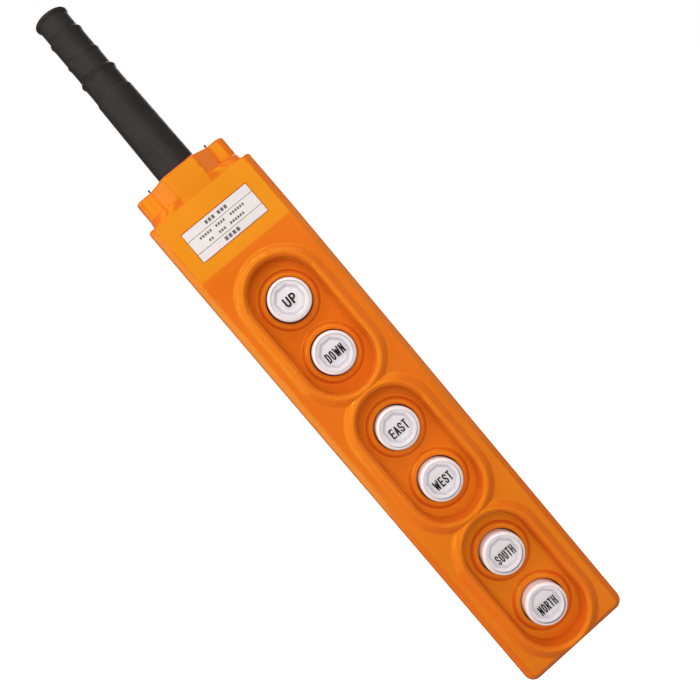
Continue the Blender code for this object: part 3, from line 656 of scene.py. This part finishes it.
def screw_place(name):
    """The middle of a screw, as (x, z)."""
    low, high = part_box(name)
    return ((low[0] + high[0]) / 2 / MM, (low[2] + high[2]) / 2 / MM)


def rear_cover():
    shell = Shell()
    outline = add_body(shell, 1, lambda z: REAR_Y, REAR_Y - BACK_WALL)
    screws = [screw_place(f"cover_screw_{number}") for number in range(1, 7)]
    wells = [circle(place, WELL_RADIUS, WELL_STEPS) for place in screws]
    rims = [circle(place, WELL_RADIUS + WELL_CHAMFER, WELL_STEPS) for place in screws]

    def nearest_screw(x, z):
        return min(math.hypot(x - px, z - pz) for px, pz in screws)

    def height(x, z):
        return REAR_Y - WELL_CHAMFER if nearest_screw(x, z) < WELL_RADIUS + WELL_CHAMFER / 2 else REAR_Y

    def solid(x, z):
        return inside_outline(x, z, outline) and nearest_screw(x, z) > WELL_INSIDE

    shell.fill([outline] + wells + rims, [], solid, height)
    for well in wells:
        top = shell.loop([(x, REAR_Y - WELL_CHAMFER, z) for x, z in well])
        floor = shell.loop([(x, WELL_FLOOR_Y, z) for x, z in well])
        shell.bridge(top, floor)
        shell.cap(floor)
    inner = shell.loop([(x, REAR_Y - BACK_WALL, z) for x, z in body_outline(RIM_WALL, RIM_WALL)])
    shell.cap(inner)
    neck(shell, 1)
    ledge(shell, 1)
    add_piece("rear_cover_shell", shell.points, shell.faces, ORANGE, "case", ["rear_cover"])


front_cover()
rear_cover()


# ---------------------------------------------------------------- cable entry

# Sleeve section, radius and z: up the passage, over the mouth, down the stepped outside, and in at the
# flange.
SLEEVE_PROFILE = (
    (6.5, -112.0), (6.5, -1.0), (6.7, -0.45), (7.25, -0.08), (7.6, 0.0), (8.7, -0.02), (9.05, -0.12),
    (9.22, -0.4), (9.26, -0.8), (9.24, -1.3), (9.1, -1.7), (8.7, -2.2), (8.46, -2.8), (8.42, -6.5),
    (8.45, -10.1), (8.6, -10.7), (9.0, -11.2), (9.3, -11.5), (9.36, -11.9), (9.25, -12.5), (9.02, -13.5),
    (8.95, -14.8), (8.95, -20.6), (8.98, -23.2), (9.15, -24.0), (9.42, -24.5), (9.48, -24.9),
    (9.35, -25.5), (9.14, -26.4), (9.1, -27.6), (9.1, -31.5), (9.16, -34.4), (9.5, -35.1),
    (10.1, -35.7), (10.32, -36.1), (10.25, -36.6), (9.85, -37.3), (9.62, -38.3), (9.62, -42.5),
    (9.72, -47.1), (9.95, -47.8), (10.22, -48.4), (10.28, -49.1), (10.24, -50.5), (10.6, -70.0),
    (11.0, -95.0), (11.05, -97.5), (11.05, -101.6), (11.3, -101.9), (11.3, -104.9), (9.5, -105.0),
    (9.5, -112.0), (6.5, -112.0))


def rubber_sleeve():
    shell = Shell()
    turned(shell, SLEEVE_PROFILE, upright, (0.0, 0.0), steps=96)
    add_piece("rubber_sleeve_skin", shell.points, shell.faces, RUBBER_AND_FLANGE_SHADE, "case", ["rubber_sleeve"],
              sharp=50.0)


rubber_sleeve()


# ---------------------------------------------------------------- nameplate

LEAST_SLAB_CORNER = 0.01
# Film and print: how far the underside and the top stand off the slope.
FILM_LIFTS = (-0.5, 0.06)
FILM_CORNER = 0.5
FILM_EDGE = 0.08
PRINT_LIFTS = (0.05, 0.09)
PRINT_CORNER = 0.1
# The ruled lines' lower and upper edges, and their distance from the plate's sides.
RULES = ((3.62, 3.9), (-4.15, -3.87))
RULE_MARGIN = 0.15
# Dark blocks in place of letters: row height on the plate, letter height, pitch, and each word's start
# and count. A letter takes up a share of its pitch.
PRINT_ROWS = ((6.1, 1.9, 2.1, ((-7.3, 3), (0.4, 3))),
              (1.6, 1.3, 1.5, ((-14.2, 5), (-4.4, 4), (4.6, 6))),
              (-1.9, 1.3, 1.5, ((-11.2, 2), (-5.0, 3), (2.0, 6))),
              (-6.4, 2.1, 2.4, ((-4.9, 4),)))
LETTER_SHARE = 0.68


def on_slope(x, across, lift):
    """A point on the nameplate: across is up the slope from its centre, lift is off its face."""
    angle = math.atan(SLOPE)
    y = FACE_Y + SLOPE * (PLATE_Z - CREASE_Z) + across * math.sin(angle) - lift * math.cos(angle)
    z = PLATE_Z + across * math.cos(angle) + lift * math.sin(angle)
    return (x, y, z)


def slab(shell, low_x, low_v, high_x, high_v, bottom, top, corner, edge):
    """A thin plate on the slope, with rounded corners and a softened upper edge."""
    def ring(inset, lift):
        radius = max(corner - inset, LEAST_SLAB_CORNER)
        reach = inset + radius
        outline = rounded_box(low_x + reach, low_v + reach, high_x - reach, high_v - reach, radius, steps=4)
        return shell.loop([on_slope(x, v, lift) for x, v in outline])

    shell.closed_loft([ring(0.0, bottom), ring(0.0, top - edge), ring(edge * 0.4, top - edge * 0.3),
                       ring(edge, top)])


def nameplate():
    half_x = PLATE_WIDTH / 2
    half_v = PLATE_HEIGHT / 2
    film = Shell()
    slab(film, -half_x, -half_v, half_x, half_v, *FILM_LIFTS, FILM_CORNER, FILM_EDGE)
    add_piece("nameplate_film", film.points, film.faces, PLATE_FILM, "case", ["nameplate"])
    blocks = [(-half_x + RULE_MARGIN, half_x - RULE_MARGIN, low, high) for low, high in RULES]
    for centre_v, height, pitch, words in PRINT_ROWS:
        for low_x, letters in words:
            for letter in range(letters):
                x = low_x + letter * pitch
                blocks.append((x, x + pitch * LETTER_SHARE, centre_v - height / 2, centre_v + height / 2))
    printed = Shell()
    for x1, x2, v1, v2 in blocks:
        slab(printed, x1, v1, x2, v2, *PRINT_LIFTS, min(PRINT_CORNER, (v2 - v1) / 2.2), 0.0)
    add_piece("nameplate_print", printed.points, printed.faces, PLATE_INK, "case")


nameplate()


# ---------------------------------------------------------------- buttons

BUTTON_STEPS = 72
# Cap section, radius and y: out over the crown, down the skirt, round the flange, and back under the crown.
LENS_PROFILE = (
    (0.0, -19.2), (4.0, -19.19), (7.0, -19.14), (8.6, -19.06), (9.6, -18.9), (10.3, -18.66), (10.75, -18.3),
    (11.0, -17.9), (11.1, -17.4), (11.1, -7.2), (13.0, -7.2), (13.0, -5.7), (9.6, -5.7), (9.6, -17.55),
    (9.45, -17.7), (0.0, -17.7))
# Faces beyond the cap's body are black rubber, painted shade in the gap round the cap; those beyond the
# window, or deeper than its edge, are milky.
CAP_BODY_RADIUS = 11.3
WINDOW_RADIUS = 9.2
WINDOW_EDGE_Y = -17.0


def lens(name, z, body):
    """A clear cap; its top is crowned, its skirt is milky, and its flange is black rubber, painted shade for
    the gap round the cap.
    """
    shell = Shell()
    turned(shell, LENS_PROFILE, towards_front, (0.0, z), BUTTON_STEPS)
    item = add_piece("lens_" + name, shell.points, shell.faces, LENS, body, ["button_cap_" + name])
    item.data.materials.append(SKIRT)
    item.data.materials.append(RUBBER_AND_FLANGE_SHADE)
    for polygon in item.data.polygons:
        centre = polygon.center
        radius = math.hypot(centre.x, centre.z - z * MM) / MM
        # The flange is painted black: shade at the bottom of the gap round the cap.
        if radius > CAP_BODY_RADIUS:
            polygon.material_index = 2
        elif radius > WINDOW_RADIUS or centre.y / MM > WINDOW_EDGE_Y:
            polygon.material_index = 1


# Legend section from the underside over the rim and into the dish: round rows and octagonal rows, each
# with its reach from the axis and its height along Y.
LEGEND_DISC = ((9.5, -16.1), (9.5, -17.57), (9.42, -17.64), (8.7, -17.64))
LEGEND_DISH = ((7.72, -17.64), (7.58, -17.56), (6.12, -16.12), (6.0, -16.06), (5.7, -16.04))
# The dish's wall is between these heights and leans towards the front; its faces get a darker lavender grey
# as painted shade.
DISH_WALL_Y = (-17.5, -16.2)
DISH_WALL_LEAN = -0.2


def legend_plate(name, z, body):
    """A white disc with an octagonal dish behind the word; the dish's wall is a darker grey, painted shade.
    """
    shell = Shell()

    def ring(reach, y, sector):
        """A loop whose reach is to the middle of each sector's flat; with a sector of 0 it is a circle."""
        points = []
        for step in range(BUTTON_STEPS):
            angle = 2 * math.pi * step / BUTTON_STEPS
            turn = (angle + sector / 2) % sector - sector / 2 if sector else 0.0
            radius = reach / math.cos(turn)
            points.append((radius * math.cos(angle), y, z + radius * math.sin(angle)))
        return shell.loop(points)

    shell.closed_loft([ring(reach, y, 0.0) for reach, y in LEGEND_DISC]
                      + [ring(reach, y, math.pi / 4) for reach, y in LEGEND_DISH])
    item = add_piece("legend_" + name, shell.points, shell.faces, LEGEND, body, ["legend_plate_" + name],
                     sharp=20.0)
    # The second finish darkens the dish's wall: painted shade.
    item.data.materials.append(LEGEND_WALL_SHADE)
    for polygon in item.data.polygons:
        y = polygon.center.y / MM
        if DISH_WALL_Y[0] < y < DISH_WALL_Y[1] and polygon.normal.y < DISH_WALL_LEAN:
            polygon.material_index = 1


# Words: text and width. Letters are strokes in a unit box; an arc is (centre u, v, radius u, v, start,
# end).
WORDS = {"up": ("UP", 7.0), "down": ("DOWN", 10.4), "east": ("EAST", 10.5), "west": ("WEST", 10.6),
         "south": ("SOUTH", 10.9), "north": ("NORTH", 10.7)}
WORD_HEIGHT = 5.3
WORD_DROP = 0.4
WORD_Y = -19.22
INK_THICKNESS = 0.03
WIDE_LETTER = 1.45
# The space between letters, as a share of a stroke's width.
LETTER_SPACE = 0.62
LETTERS = {
    "A": [[(0, 0), (0.5, 1), (1, 0)], [(0.2, 0.3), (0.8, 0.3)]],
    "D": [[(0, 0), (0, 1), (0.45, 1), (0.45, 0.62, 0.55, 0.38, 90, 0), (0.45, 0.38, 0.55, 0.38, 0, -90),
           (0, 0)]],
    "E": [[(1, 1), (0, 1), (0, 0), (1, 0)], [(0, 0.52), (0.9, 0.52)]],
    "H": [[(0, 0), (0, 1)], [(1, 0), (1, 1)], [(0, 0.52), (1, 0.52)]],
    "N": [[(0, 0), (0, 1), (1, 0), (1, 1)]],
    "O": [[(0.5, 0.64, 0.5, 0.36, 0, 180), (0.5, 0.36, 0.5, 0.36, 180, 360), (1, 0.64)]],
    "P": [[(0, 0), (0, 1), (0.5, 1), (0.5, 0.73, 0.5, 0.27, 90, -90), (0, 0.46)]],
    "R": [[(0, 0), (0, 1), (0.5, 1), (0.5, 0.74, 0.5, 0.26, 90, -90), (0, 0.48)], [(0.5, 0.48), (1, 0)]],
    "S": [[(0.5, 0.75, 0.5, 0.25, 12, 235), (0.5, 0.25, 0.5, 0.25, 55, -168)]],
    "T": [[(0, 1), (1, 1)], [(0.5, 1), (0.5, 0)]],
    "U": [[(0, 1), (0.5, 0.34, 0.5, 0.34, 180, 360), (1, 1)]],
    "W": [[(0, 1), (0.25, 0), (0.5, 0.8), (0.75, 0), (1, 1)]],
}


def stroke_points(stroke):
    points = []
    for part in stroke:
        if len(part) == 2:
            points.append(Vector(part))
            continue
        u, v, wide, tall, start, end = part
        unit_arc = arc((0.0, 0.0), 1.0, start, end, steps=10)
        points += [Vector((u + wide * x, v + tall * y)) for x, y in unit_arc]
    return points


def stroke_width(text):
    """Shorter words have heavier strokes."""
    return min(1.0, 0.36 + 1.6 / len(text))


def word_outlines(text, width, thickness):
    """A quad for each straight run of a stroke, and a disc at each joint, centred on the word."""
    wide = [WIDE_LETTER if letter == "W" else 1.0 for letter in text]
    space = thickness * LETTER_SPACE
    unit = (width - (len(text) - 1) * space) / sum(wide)
    left = -width / 2
    outlines = []
    for letter, share in zip(text, wide):
        size = Vector((unit * share - thickness, WORD_HEIGHT - thickness))
        corner = Vector((left + thickness / 2, -WORD_HEIGHT / 2 + thickness / 2))
        for stroke in LETTERS[letter]:
            path = [corner + point * size for point in stroke_points(stroke)]
            for index, (one, two) in enumerate(zip(path, path[1:])):
                if (two - one).length < TOUCH:
                    continue
                along = (two - one).normalized() * thickness / 2
                across = Vector((-along.y, along.x))
                first = one - along if index == 0 else one
                last = two + along if index == len(path) - 2 else two
                corners = (first + across, first - across, last - across, last + across)
                outlines.append([tuple(point) for point in corners])
                if index:
                    outlines.append(circle(tuple(one), thickness / 2, steps=12))
        left += unit * share + space
    return outlines


def word(name, z, body):
    """The direction word, printed on the lens."""
    text, width = WORDS[name]
    outlines = []
    for outline in word_outlines(text, width, stroke_width(text)):
        outlines.append([(x, v + z - WORD_DROP) for x, v in outline])
    shell = Shell()
    shell.fill(outlines, [], lambda x, v: any(inside_outline(x, v, outline) for outline in outlines),
               lambda x, v: WORD_Y)
    item = add_piece("word_" + name, shell.points, shell.faces, INK, body)
    solid = item.modifiers.new("thickness", "SOLIDIFY")
    solid.thickness = INK_THICKNESS * MM
    solid.offset = 0.0


WIRE_RADIUS = 0.5
COIL_RADIUS = 5.5
COIL_START_Y = -13.5
COIL_END_Y = -0.8
COIL_TURNS = 5
# How far the first turn and the last one rise.
END_RISE = 1.2
STEPS_PER_TURN = 28
WIRE_SIDES = 10


def coil_height(turn):
    """The wire's height along Y after some turns; the end turns are closed up."""
    if turn <= 1:
        return COIL_START_Y + END_RISE * turn
    if turn >= COIL_TURNS - 1:
        return COIL_END_Y - END_RISE * (COIL_TURNS - turn)
    rise = COIL_END_Y - COIL_START_Y - 2 * END_RISE
    return COIL_START_Y + END_RISE + rise * (turn - 1) / (COIL_TURNS - 2)


def spring(name, z):
    """A round-wire compression spring with closed ends."""
    shell = Shell()
    rings = []
    for step in range(COIL_TURNS * STEPS_PER_TURN + 1):
        turn = step / STEPS_PER_TURN
        angle = 2 * math.pi * turn
        y = coil_height(turn)
        ring = []
        for side in range(WIRE_SIDES):
            wire_angle = 2 * math.pi * side / WIRE_SIDES
            radius = COIL_RADIUS + WIRE_RADIUS * math.cos(wire_angle)
            ring.append((radius * math.cos(angle), y + WIRE_RADIUS * math.sin(wire_angle),
                         z + radius * math.sin(angle)))
        rings.append(shell.loop(ring))
    shell.closed_loft(rings)
    item = add_piece("spring_" + name, shell.points, shell.faces, SPRING_STEEL, "case",
                     ["return_spring_" + name], sharp=60.0)
    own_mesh(item)


for button_name, button_z in BUTTONS.items():
    button_body = "button_" + button_name
    lens(button_name, button_z, button_body)
    legend_plate(button_name, button_z, button_body)
    word(button_name, button_z, button_body)
    spring(button_name, button_z)


# ---------------------------------------------------------------- carried-over CAD nodes

# Each finish goes to the CAD nodes whose names start so.
FINISHES = {"cover_gasket": RUBBER_AND_FLANGE_SHADE, "button_seal_sheet": RUBBER_AND_FLANGE_SHADE, "sleeve_retainer": ZINC,
            "retainer_screw": BLACK_STEEL, "cover_screw": ZINC, "block_screw": ZINC,
            "contact_block": BLACK_PLASTIC, "contact_bridge": BRASS, "switch_terminal": BRASS,
            "common_terminal": BRASS, "button_stem": WHITE_STEM}
for node_name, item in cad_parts.items():
    for start, finish in FINISHES.items():
        if node_name.startswith(start):
            item.data.materials.clear()
            item.data.materials.append(finish)


# ---------------------------------------------------------------- studio

def area_light(name, place, target, size, power, colour, along=None):
    """A rectangle facing its target; along gives the direction of its long side."""
    light = bpy.data.lights.new(name, "AREA")
    light.shape = "RECTANGLE"
    light.size, light.size_y = size
    light.energy = power
    light.color = colour
    item = bpy.data.objects.new(name, light)
    aim = (Vector(target) - Vector(place)).normalized()
    if along:
        side = Vector(along).normalized()
        turn = Matrix((side, (-aim).cross(side), -aim)).transposed()
    else:
        turn = aim.to_track_quat("-Z", "Y").to_matrix()
    item.matrix_world = Matrix.Translation(place) @ turn.to_4x4()
    item.visible_camera = False
    bpy.context.scene.collection.objects.link(item)


WHITE = (1.0, 1.0, 1.0)
WARM = (1.0, 0.97, 0.90)
MIDDLE = (0.0, -0.015, -0.22)
LABEL_AIM = (0.0, -0.015, -0.134)
GLOW = 0.24
FLOOR_REACH = 6.0
FLOOR_Z = -0.56
# Lights: name, place, target, size, power and colour.
LIGHTS = (("key_front", (-0.05, -1.00, 0.21), LABEL_AIM, (0.9, 0.28), 2.9, WARM),
          ("left_wall", (-1.00, -0.08, -0.10), MIDDLE, (0.3, 0.9), 2.1, WARM),
          ("right_wall", (1.00, -0.10, -0.10), MIDDLE, (0.3, 0.9), 0.8, WARM),
          ("front_left", (-0.42, -1.18, -0.25), MIDDLE, (0.3, 0.9), 2.5, WARM),
          ("front_right", (0.44, -1.18, -0.25), MIDDLE, (0.3, 0.9), 2.4, WARM),
          ("low_fill", (0.25, -1.05, -0.80), MIDDLE, (1.2, 0.5), 1.9, WARM),
          ("back_fill", (0.3, 1.1, 0.5), MIDDLE, (0.9, 0.9), 8.0, WHITE))
# Two arcs of strips over the top and the left side draw the lines along the ridges. An arc is its radius
# and its distance in front; a strip is its angle on the arc, clockwise from the top, and its power.
CREST_ARCS = ((0.93, 0.37), (0.80, 0.60))
CREST_STRIPS = ((-85, 0.75), (-45, 0.95), (-5, 1.2), (35, 0.75))
STRIP_SIZE = (0.68, 0.045)


def floor_sheet():
    floor_mesh = bpy.data.meshes.new("floor")
    floor_mesh.from_pydata([(-FLOOR_REACH, -FLOOR_REACH, FLOOR_Z), (FLOOR_REACH, -FLOOR_REACH, FLOOR_Z),
                            (FLOOR_REACH, FLOOR_REACH, FLOOR_Z), (-FLOOR_REACH, FLOOR_REACH, FLOOR_Z)],
                           [], [(0, 1, 2, 3)])
    floor = bpy.data.objects.new("floor", floor_mesh)
    floor_mesh.materials.append(FLOOR)
    bpy.context.scene.collection.objects.link(floor)
    floor.visible_diffuse = False
    floor.visible_glossy = False


def surroundings():
    """A white backdrop, which lights the object only with a weak glow."""
    world = bpy.data.worlds.new("studio")
    bpy.context.scene.world = world
    world.use_nodes = True
    tree = world.node_tree
    tree.nodes.clear()
    output = tree.nodes.new("ShaderNodeOutputWorld")
    mix = tree.nodes.new("ShaderNodeMixShader")
    rays = tree.nodes.new("ShaderNodeLightPath")
    shown = tree.nodes.new("ShaderNodeBackground")
    shown.inputs["Color"].default_value = (*WHITE, 1.0)
    glow = tree.nodes.new("ShaderNodeBackground")
    glow.inputs["Color"].default_value = (*WHITE, 1.0)
    glow.inputs["Strength"].default_value = GLOW
    tree.links.new(rays.outputs["Is Camera Ray"], mix.inputs["Fac"])
    tree.links.new(glow.outputs["Background"], mix.inputs[1])
    tree.links.new(shown.outputs["Background"], mix.inputs[2])
    tree.links.new(mix.outputs["Shader"], output.inputs["Surface"])


def lights():
    for light in LIGHTS:
        area_light(*light)
    for level, (spread, forward) in enumerate(CREST_ARCS):
        for number, (round_angle, power) in enumerate(CREST_STRIPS):
            turn = math.radians(round_angle)
            away = Vector((spread * math.sin(turn), -forward, spread * math.cos(turn)))
            along = (math.cos(turn), 0.0, -math.sin(turn))
            area_light(f"crest_arc_{level}_{number}", Vector(MIDDLE) + away, MIDDLE, STRIP_SIZE, power, WARM,
                       along)


# The camera, in millimetres and degrees, matched to the photograph's perspective.
CAMERA_PLACE = (-23.2, -429.7, -194.5)
CAMERA_TARGET = (7.06, -13.0, -220.84)
CAMERA_LEAN = 40.1
CAMERA_LENS = 43.2
CAMERA_SENSOR = 36.0
NEAREST_METRES = 0.01


def camera():
    """A camera that leans by an angle about its own line of sight."""
    place = Vector(CAMERA_PLACE) * MM
    target = Vector(CAMERA_TARGET) * MM
    lean = math.radians(CAMERA_LEAN)
    forward = (target - place).normalized()
    right = forward.cross(Vector((0, 0, 1))).normalized()
    up = right.cross(forward)
    tilted_right = right * math.cos(lean) - up * math.sin(lean)
    tilted_up = up * math.cos(lean) + right * math.sin(lean)
    data = bpy.data.cameras.new("camera")
    data.lens = CAMERA_LENS
    data.sensor_width = CAMERA_SENSOR
    data.clip_start = NEAREST_METRES
    item = bpy.data.objects.new("camera", data)
    turn = Matrix((tilted_right, tilted_up, -forward)).transposed()
    item.matrix_world = Matrix.Translation(place) @ turn.to_4x4()
    bpy.context.scene.collection.objects.link(item)
    bpy.context.scene.camera = item


floor_sheet()
surroundings()
lights()
camera()
bpy.context.scene.view_settings.view_transform = "Standard"
bpy.context.scene.view_settings.look = "None"
